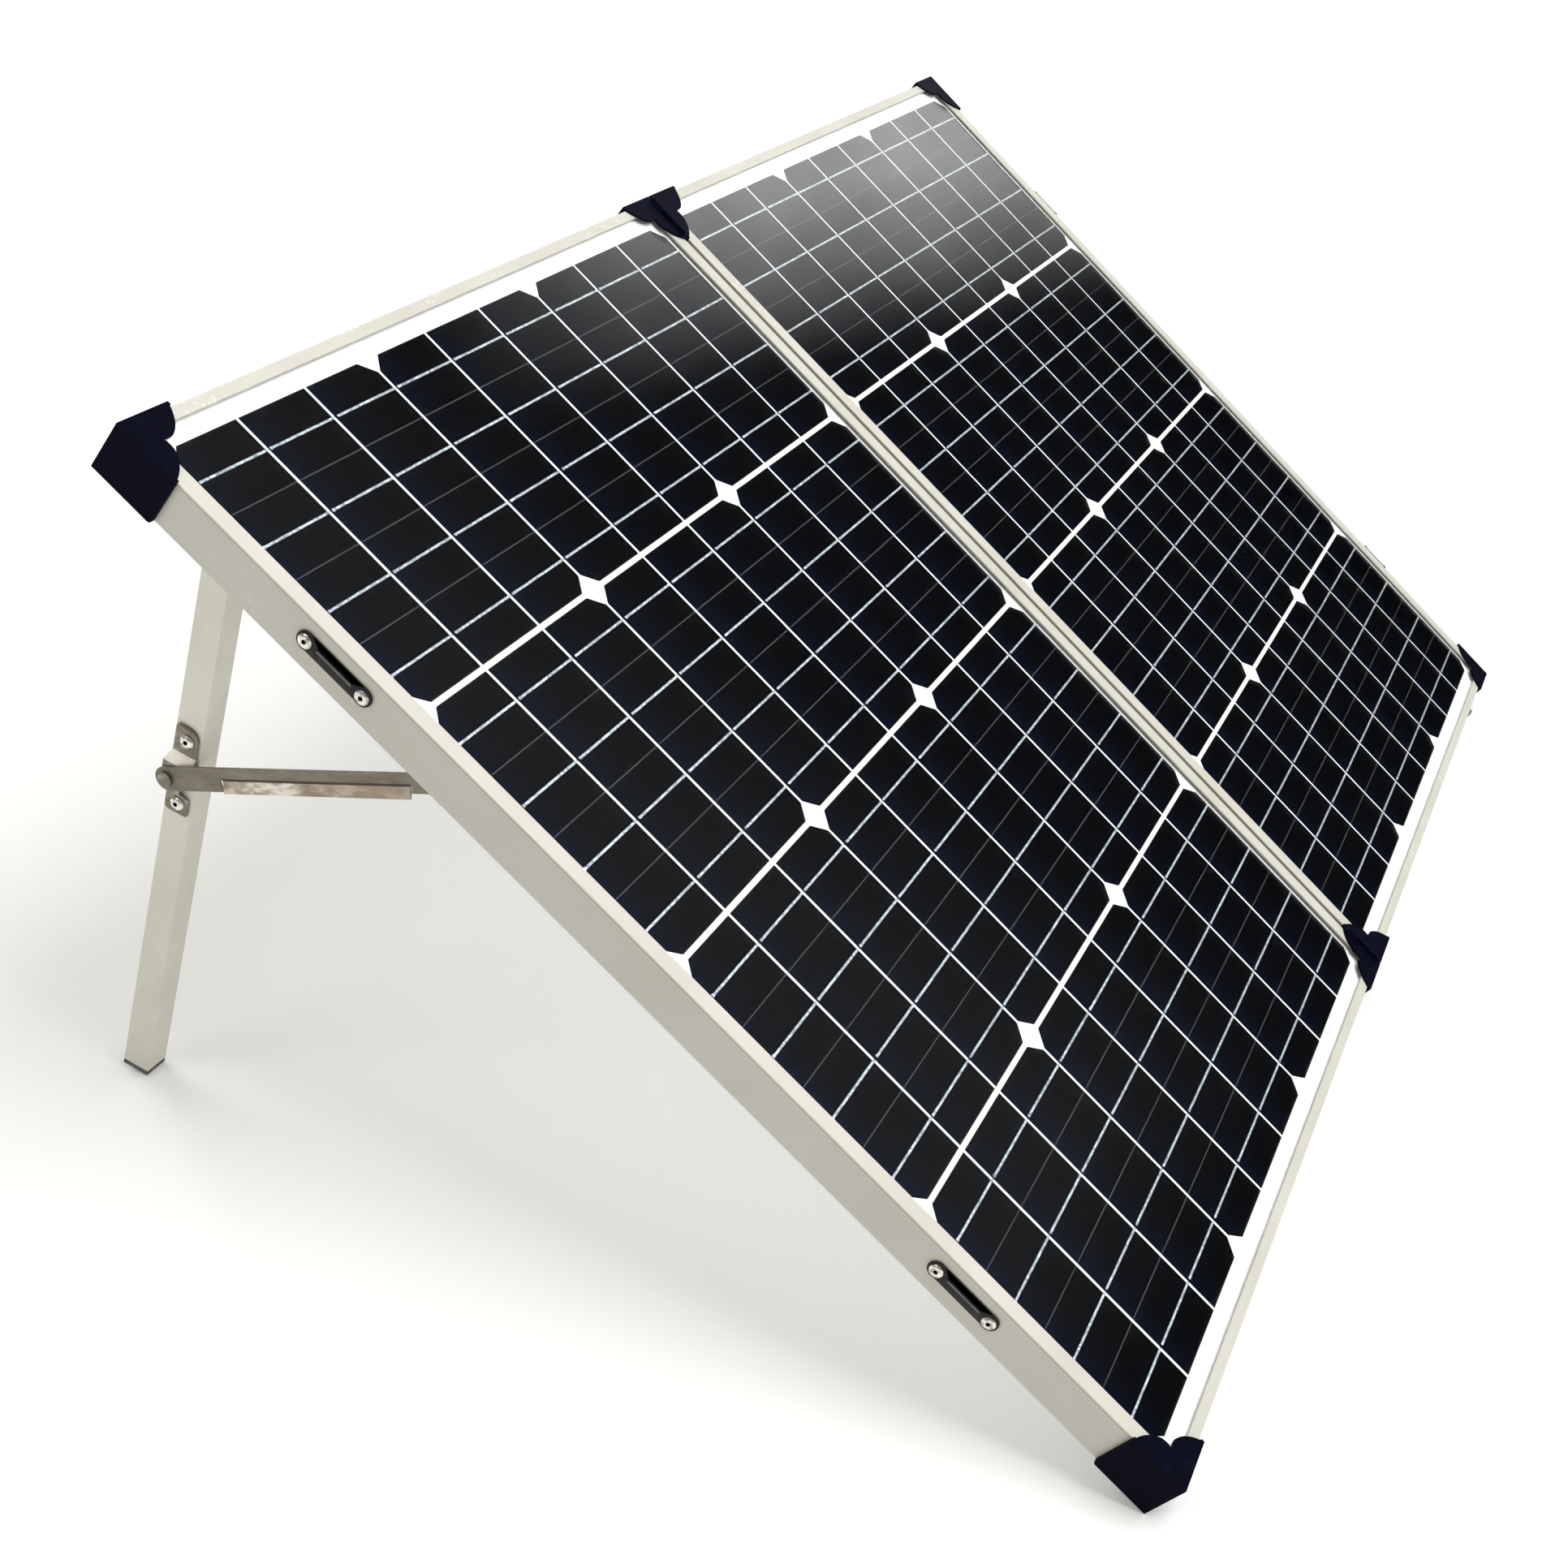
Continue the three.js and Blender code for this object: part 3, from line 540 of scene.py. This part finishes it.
def add_prism(bm, outline, z0, z1, material=0, uv=None):
    """A closed prism over an outline in x and y. uv maps a point to its UV."""
    low = [bm.verts.new((x, y, z0)) for x, y in outline]
    high = [bm.verts.new((x, y, z1)) for x, y in outline]
    faces = [bm.faces.new(high), bm.faces.new(list(reversed(low)))]
    count = len(outline)
    for i in range(count):
        j = (i + 1) % count
        faces.append(bm.faces.new((low[i], low[j], high[j], high[i])))
    layer = bm.loops.layers.uv.active
    for face in faces:
        face.material_index = material
        if layer is not None and uv is not None:
            for loop in face.loops:
                loop[layer].uv = uv(loop.vert.co)


def add_box(bm, x, y, z, material=0):
    add_prism(bm, [(x[0], y[0]), (x[1], y[0]), (x[1], y[1]), (x[0], y[1])], z[0], z[1], material)


def add_lathe(bm, profile, at=(0, 0, 0), axis="z", segments=28, material=0, shaded_rings=0):
    """A body of revolution. profile is (radius, height) from the axis back to the axis.
    The first rings, as many as the last argument says, take the second material: painted shade in a
    screw's socket."""
    turn = {"z": Matrix.Identity(3),
            "x": Matrix(((0, 0, 1), (0, 1, 0), (-1, 0, 0))),
            "y": Matrix(((1, 0, 0), (0, 0, 1), (0, -1, 0)))}[axis]
    rings = []
    for radius, height in profile:
        count = segments if radius > 1e-6 else 1
        ring = []
        for i in range(count):
            angle = 2 * math.pi * i / segments
            point = turn @ Vector((radius * math.cos(angle), radius * math.sin(angle), height))
            ring.append(bm.verts.new(point + Vector(at)))
        rings.append(ring)
    for step, (lower, upper) in enumerate(zip(rings, rings[1:])):
        for i in range(segments):
            j = (i + 1) % segments
            corners = [lower[i % len(lower)], lower[j % len(lower)],
                       upper[j % len(upper)], upper[i % len(upper)]]
            unique = list(dict.fromkeys(corners))
            if len(unique) > 2:
                bm.faces.new(unique).material_index = 1 if step < shaded_rings else material


def add_ring(bm, outer, inner, z0, z1):
    """A closed border between two outlines with the same number of points."""
    rings = [[bm.verts.new((x, y, z)) for x, y in outline]
             for outline, z in ((outer, z0), (outer, z1), (inner, z1), (inner, z0))]
    count = len(outer)
    for a, b in zip(rings, rings[1:] + rings[:1]):
        for i in range(count):
            j = (i + 1) % count
            bm.faces.new((a[i], a[j], b[j], b[i]))


def rounded_rectangle(half_x, half_y, radius):
    """Outline of a rectangle with round corners, anticlockwise."""
    steps = 6
    points = []
    for cx, cy, start in ((1, 1, 0), (-1, 1, 90), (-1, -1, 180), (1, -1, 270)):
        for i in range(steps + 1):
            angle = math.radians(start + 90 * i / steps)
            points.append((cx * (half_x - radius) + radius * math.cos(angle),
                           cy * (half_y - radius) + radius * math.sin(angle)))
    return points


def pan_head(radius, height):
    """Profile of a pan head, from the bottom of its socket round to the seat."""
    return [(0, height * 0.2), (radius * 0.27, height * 0.18), (radius * 0.31, height * 0.96),
            (radius * 0.40, height), (radius * 0.70, height * 0.9), (radius * 0.90, height * 0.58),
            (radius, height * 0.22), (radius * 0.98, 0), (0, 0)]


# ------------------------------------------------------------------ laminate

def strip_outline(column, row):
    """One third-cut cell: the first and last of each three keep the wafer's chamfers."""
    x0 = FIRST_STRIP + column * STRIP_PITCH
    y0 = -TOP + FIRST_ROW + row * ROW_PITCH
    x1 = x0 + STRIP
    y1 = y0 + CELL
    left = CHAMFER if column % 3 == 0 else 0
    right = CHAMFER if column % 3 == 2 else 0
    octagon = [(x0 + left, y0), (x1 - right, y0), (x1, y0 + right), (x1, y1 - right),
               (x1 - right, y1), (x0 + left, y1), (x0, y1 - left), (x0, y0 + left)]
    return x0, y0, list(dict.fromkeys(octagon))


def add_ribbon(bm, start, end, y, blob):
    """A flat ribbon on the cells, with a blob of solder at its start."""
    half = RIBBON_WIDTH / 2
    add_box(bm, (start, end), (y - half, y + half), (CELL_TOP - HAIR, CELL_TOP + RIBBON_THICKNESS), 2)
    add_lathe(bm, [(0, 0.12), (blob * 0.7, 0.1), (blob, 0), (0, 0)],
              (start + 0.5, y, CELL_TOP), segments=10, material=2)


def cell_layer(bm, random_seed):
    """White sheet (material 0) with cells (1) and their ribbons (2) on it."""
    rng = random.Random(random_seed)
    bm.loops.layers.uv.new("cell_mm")
    add_box(bm, (SHEET_MARGIN, WIDTH - SHEET_MARGIN), (SHEET_MARGIN - TOP, TOP - SHEET_MARGIN),
            (SHEET_BACK, SHEET_TOP))
    for row in range(ROWS):
        for column in range(STRIPS):
            x0, y0, points = strip_outline(column, row)
            add_prism(bm, points, SHEET_TOP - HAIR, CELL_TOP, 1,
                      lambda co, x0=x0, y0=y0: (co.x - x0, co.y - y0))
            end = x0 + (STRIP_PITCH - 0.2 if column < STRIPS - 1 else STRIP + 0.6)
            for eighth in RIBBONS_AT:
                start = x0 + rng.uniform(1.2, 2.6)
                blob = rng.uniform(0.75, 1.0)
                add_ribbon(bm, start, end, y0 + CELL * eighth / 8, blob)


def one_panel(side):
    """Frame of the near (-1) or far (1) panel, with x from its left edge."""
    left = GAP / 2 if side > 0 else -OUTER
    return PANEL @ Matrix.Translation((left, 0, 0))


def laminates():
    for side, prefix in ((-1, "near"), (1, "far")):
        piece = make_piece(f"{prefix}_cells_and_ribbons", partial(cell_layer, random_seed=side + 5),
                           [MATERIAL["sheet"], MATERIAL["cells"], MATERIAL["ribbon"]],
                           f"{prefix}_panel", one_panel(side), smooth=False)
        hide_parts(f"{prefix}_cell_layer")


# ------------------------------------------------------------------ keepers and screws

def keeper(bm):
    """Two screw bosses joined by a raised hook that opens towards the glass side (+x).
    Materials: 0 moulding, 1 painted shade in the recess under the hook, 2 painted highlight on the
    ridge."""
    half = KEEPER_PITCH / 2
    radius = 4.95
    steps = 12
    outline = []
    for end, start in ((1, 0), (-1, 180)):
        for i in range(steps + 1):
            angle = math.radians(start + 180 * i / steps)
            outline.append((radius * math.cos(angle), end * half + radius * math.sin(angle)))
    plate_top = 0.6
    add_prism(bm, outline, plate_top / 2, plate_top)
    seat = 0.5
    boss = [(0, KEEPER_BOSS), (radius - 0.65, KEEPER_BOSS), (radius - 0.2, KEEPER_BOSS - 0.15),
            (radius, KEEPER_BOSS - 0.6), (radius, seat), (0, seat)]
    for end in (-1, 1):
        add_lathe(bm, boss, (0, end * half, 0), segments=36)
    back = -2.7
    lip = 1.4
    shoulder = 4.0
    bar_top = 2.0
    bar = [(back, -half), (shoulder, -half), (shoulder, -half + 3), (lip, -half + 7),
           (lip, half - 7), (shoulder, half - 3), (shoulder, half), (back, half)]
    add_prism(bm, bar, seat, bar_top)
    # painted shade: a near-black sheet in the recess under the hook
    add_box(bm, (lip, shoulder + 0.6), (-half + 2, half - 2), (seat, seat + 0.25), 1)
    # painted highlight: a lighter strip along the hook's ridge
    ridge = [(lip - 0.1, -half + 7), (lip - 0.1, half - 7),
             (lip - 1.0, half - 6.6), (lip - 1.0, -half + 6.6)]
    add_prism(bm, ridge, bar_top - 0.1, bar_top + 0.3, 2)


def keeper_screws(bm):
    for side in (-1, 1):
        add_lathe(bm, pan_head(SCREW_RADIUS, 1.17),
                  (0, side * KEEPER_PITCH / 2, KEEPER_BOSS + HAIR), shaded_rings=2)


def keepers():
    facing = Matrix.Rotation(math.radians(-90), 4, "Y")
    for name, end in (("upper", 1), ("lower", -1)):
        at = PANEL @ Matrix.Translation((-OUTER, end * KEEPER_UP, -KEEPER_BACK)) @ facing
        piece = make_piece(f"{name}_keeper_moulding", keeper,
                           [MATERIAL["black"], MATERIAL["hollow"], MATERIAL["ridge_highlight"]],
                           "near_panel", at, bevel=0.0003)
        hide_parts(f"{name}_latch_keeper")
        make_piece(f"{name}_keeper_screws", keeper_screws, [MATERIAL["bright"], MATERIAL["hollow"]],
                   "near_panel", at)


def bracket(bm):
    """Pressed steel bracket: flat ends on the tube, and a raised middle under the strap.
    Each station gives y along the tube, the height off it, and the low and high edges."""
    flat = BRACKET_LIFT
    raised = BRACKET_LIFT + 1.6
    stations = [(-104.4, flat, -5.6, 0.5), (-105.0, flat, -6.5, 2.6), (-106.4, flat, -6.9, 4.6),
                (-108.6, flat, -6.9, 5.9), (-111.0, flat, -6.9, 6.2), (-119.8, flat, -6.9, 6.2),
                (-127.0, raised, -10.2, 5.0), (-142.5, raised, -10.2, 1.0), (-145.0, flat, -6.9, 6.0),
                (-150.5, flat, -6.9, 6.2), (-153.6, flat, -6.4, 6.2), (-154.8, flat, -4.6, 5.6)]
    # painted highlight: the ramp up to the raised middle takes the second material
    highlight_step = 5
    rings = []
    for y, x, low, high in stations:
        corners = [(x, low), (x + BRACKET_SHEET, low), (x + BRACKET_SHEET, high), (x, high)]
        rings.append([bm.verts.new((out, y, z)) for out, z in corners])
    for step, (a, b) in enumerate(zip(rings, rings[1:])):
        for i in range(4):
            j = (i + 1) % 4
            face = bm.faces.new((a[i], a[j], b[j], b[i]))
            face.material_index = 1 if step == highlight_step else 0
    bm.faces.new(list(reversed(rings[0])))
    bm.faces.new(rings[-1])
    bmesh.ops.recalc_face_normals(bm, faces=bm.faces)


def bracket_screws(bm):
    for along in BRACKET_SCREWS:
        add_lathe(bm, pan_head(SCREW_RADIUS, 1.7),
                  (BRACKET_LIFT + BRACKET_SHEET + 0.05, -along, 0.3), "x", shaded_rings=2)


def leg_fittings():
    for side, prefix in ((-1, "near"), (1, "far")):
        plate = make_piece(f"{prefix}_pressed_bracket", bracket, [MATERIAL["steel"], MATERIAL["ramp_highlight"]],
                           f"{prefix}_leg", leg_matrix(side), bevel=0.0003)
        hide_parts(f"{prefix}_leg_bracket")
        make_piece(f"{prefix}_bracket_screws", bracket_screws, [MATERIAL["bright"], MATERIAL["hollow"]],
                   f"{prefix}_leg", leg_matrix(side))


# ------------------------------------------------------------------ rear fittings

def lid_trim(bm):
    """Raised border and four screws on a junction box lid, z out of the lid."""
    half_x = 44
    half_y = 31
    border = 2.5
    lift = 0.05
    height = 0.9
    screw_inset = 7.5
    outer = rounded_rectangle(half_x, half_y, 5)
    inner = rounded_rectangle(half_x - border, half_y - border, 3)
    add_ring(bm, outer, inner, lift, height)
    for x in (-1, 1):
        for y in (-1, 1):
            at = (x * (half_x - screw_inset), y * (half_y - screw_inset), lift)
            add_lathe(bm, pan_head(2.2, height), at, segments=20, material=1)


def grip(bm):
    """Moulded grip with finger ribs, along y."""
    half = 42
    radius = 5.4
    shade_line_mask = radius - 0.5
    end = radius - 0.8
    ribs = 9
    pitch = 9
    profile = [(0, -half), (end, -half), (radius, -half + 1.5)]
    for rib in range(ribs):
        start = -half + 4 + rib * pitch
        profile += [(radius, start), (shade_line_mask, start + 1), (shade_line_mask, start + 3), (radius, start + 4)]
    profile += [(radius, half - 1.5), (end, half), (0, half)]
    add_lathe(bm, profile, axis="y", segments=32)


def rear_fittings():
    facing_back = Matrix.Rotation(math.pi, 4, "Y")
    for side, prefix in ((-1, "near"), (1, "far")):
        at = PANEL @ Matrix.Translation((side * (GAP + WIDTH) / 2, LID_UP, -LID_DEPTH)) @ facing_back
        make_piece(f"{prefix}_lid_trim", lid_trim, [MATERIAL["black"], MATERIAL["bright"]],
                   f"{prefix}_panel", at, bevel=0.0002)
    at = PANEL @ Matrix.Translation((OUTER + HANDLE_STANDOFF, 0, -HANDLE_DEPTH - HANDLE_REACH))
    piece = make_piece("ribbed_grip", grip, [MATERIAL["rubber"]], "handle", at, bevel=0.0002)
    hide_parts("carry_handle_grip")


# ------------------------------------------------------------------ CAD nodes that stay

# Word in the node's name, material, width of its rounded edges in metres.
DRESS_RULES = [
    ("outer_rail", "rail_slope", 0.0003),
    ("inner_rail", "rail_slope", 0.0003),
    ("top_rail", "rail_across", 0.0003),
    ("bottom_rail", "rail_across", 0.0003),
    ("corner", "corner", 0.0005),
    ("glass", "glass", 0),
    ("backsheet", "backsheet", 0),
    ("leg_tube", "leg", 0.0006),
    ("foot_plug", "plug", 0.0005),
    ("brace_strap", "strap", 0.0003),
    ("brace_rivet", "steel", 0.0005),
    ("pivot_bolt", "steel_fitting", 0.0003),
    ("brace_track", "track", 0.0002),
    ("pivot_block", "black", 0.0006),
    ("hinge_pin", "steel_fitting", 0),
    ("junction_box", "black", 0.0008),
    ("cable_gland", "black", 0.0003),
    ("latch_base", "steel_fitting", 0.0002),
    ("latch_lever", "steel_fitting", 0.0003),
    ("handle_mount", "black", 0.0005),
    ("bail", "steel_fitting", 0),
    ("bumper", "bumper", 0.0004),
]


def dress_nodes():
    """Gives every CAD node that still shows its material and rounded edges."""
    for name, node in NODES.items():
        for word, material, bevel in DRESS_RULES:
            if word in name:
                node.data.materials.clear()
                node.data.materials.append(MATERIAL[material])
                if bevel:
                    soften(node, bevel)
                break


# ------------------------------------------------------------------ stage

def floor():
    """The pale floor, a hair below the object so that their faces don't coincide."""
    mesh = bpy.data.meshes.new("floor")
    size = 14.0
    hair = 0.0005
    corners = [(-size, -size, 0), (size, -size, 0), (size, size, 0), (-size, size, 0)]
    mesh.from_pydata(corners, [], [(0, 1, 2, 3)])
    mesh.materials.append(floor_material())
    plane = bpy.data.objects.new("floor", mesh)
    plane.location.z = -hair
    bpy.context.scene.collection.objects.link(plane)


def softbox(name, location, target, size, power):
    """A rectangular lamp, with its size in metres and its power in watts."""
    light = bpy.data.lights.new(name, "AREA")
    light.shape = "RECTANGLE"
    light.size, light.size_y = size
    light.energy = power
    light.color = (0.97, 0.985, 1)
    lamp = bpy.data.objects.new(name, light)
    lamp.location = location
    lamp.rotation_euler = (Vector(target) - Vector(location)).to_track_quat("-Z", "Y").to_euler()
    bpy.context.scene.collection.objects.link(lamp)


def reflected_wall():
    """A dark wall with a soft pale patch that only reflections see."""
    x = 3.2
    front = -7
    back = 1.6
    height = 5.5
    corners = [(x, front, 0), (x, back, 0), (x, back, height), (x, front, height)]
    mesh = bpy.data.meshes.new("reflected_wall")
    mesh.from_pydata(corners, [], [(0, 1, 2, 3)])
    material, tree, output = new_material("soft_patch")
    _, along, up = add(tree, "SeparateXYZ", {"Vector": place(tree)}).outputs
    rise = map_range(tree, along, source=(-0.34, 0.12), smooth=True)
    fade = map_range(tree, up, source=(1.75, 2.9), result=(1.0, 0.0), smooth=True)
    cloud = product(tree, noise(tree, place(tree), 5.0, 2), 0.9)
    mottle = maths(tree, "ADD", cloud, 0.4)
    patch = product(tree, product(tree, rise, fade), mottle)
    glow = add(tree, "Emission", {"Color": patch, "Strength": 1.6})
    finish_with(tree, output, glow.outputs[0])
    material.cycles.emission_sampling = "NONE"
    mesh.materials.append(material)
    wall = bpy.data.objects.new("reflected_wall", mesh)
    bpy.context.scene.collection.objects.link(wall)
    wall.visible_camera = False
    wall.visible_diffuse = False
    wall.visible_shadow = False


def studio():
    """White to the camera, and a dim warm room with three soft lamps to everything else."""
    world = bpy.data.worlds.new("studio")
    bpy.context.scene.world = world
    world.use_nodes = True
    tree = world.node_tree
    seen = add(tree, "LightPath").outputs["Is Camera Ray"]
    room = tree.nodes["Background"]
    room.inputs["Color"].default_value = (1, 0.965, 0.86, 1)
    room.inputs["Strength"].default_value = 0.36
    backdrop = add(tree, "Background", {"Color": (1, 1, 1, 1), "Strength": 1.0})
    both = add(tree, "MixShader", {0: seen, 1: room.outputs[0], 2: backdrop.outputs[0]})
    tree.links.new(both.outputs[0], tree.nodes["World Output"].inputs["Surface"])
    softbox("key", location=(0.3, -1.6, 3.1), target=(0, 0.1, 0.25), size=(3.0, 2.6), power=118)
    softbox("upper_left", location=(-2.3, 1.2, 2.3), target=(-0.5, 0.2, 0.35), size=(1.2, 1.0), power=9)
    softbox("rear_fill", location=(0.4, 2.4, 1.3), target=(0, 0.2, 0.0), size=(1.6, 1.0), power=26)
    reflected_wall()
    bpy.context.scene.view_settings.view_transform = "Standard"


def camera():
    """The photograph's viewpoint. eye and aim are in the panel frame."""
    data = bpy.data.cameras.new("camera")
    data.sensor_width = 36.0
    data.lens = 48.75
    data.shift_x = -0.0349
    data.shift_y = 0.1211
    data.clip_start = 0.02
    eye = PANEL @ Vector((-1231.4, 38.5, 618.3))
    aim = PANEL @ Vector((-420.1, -59.8, 0.0))
    roll = Quaternion((0, 0, 1), math.radians(10.975))
    rig = bpy.data.objects.new("camera", data)
    rig.location = eye
    rig.rotation_mode = "QUATERNION"
    rig.rotation_quaternion = (aim - eye).to_track_quat("-Z", "Y") @ roll
    bpy.context.scene.collection.objects.link(rig)
    bpy.context.scene.camera = rig


# ------------------------------------------------------------------ scene

camera()
floor()
studio()
dress_nodes()
laminates()
keepers()
leg_fittings()
rear_fittings()
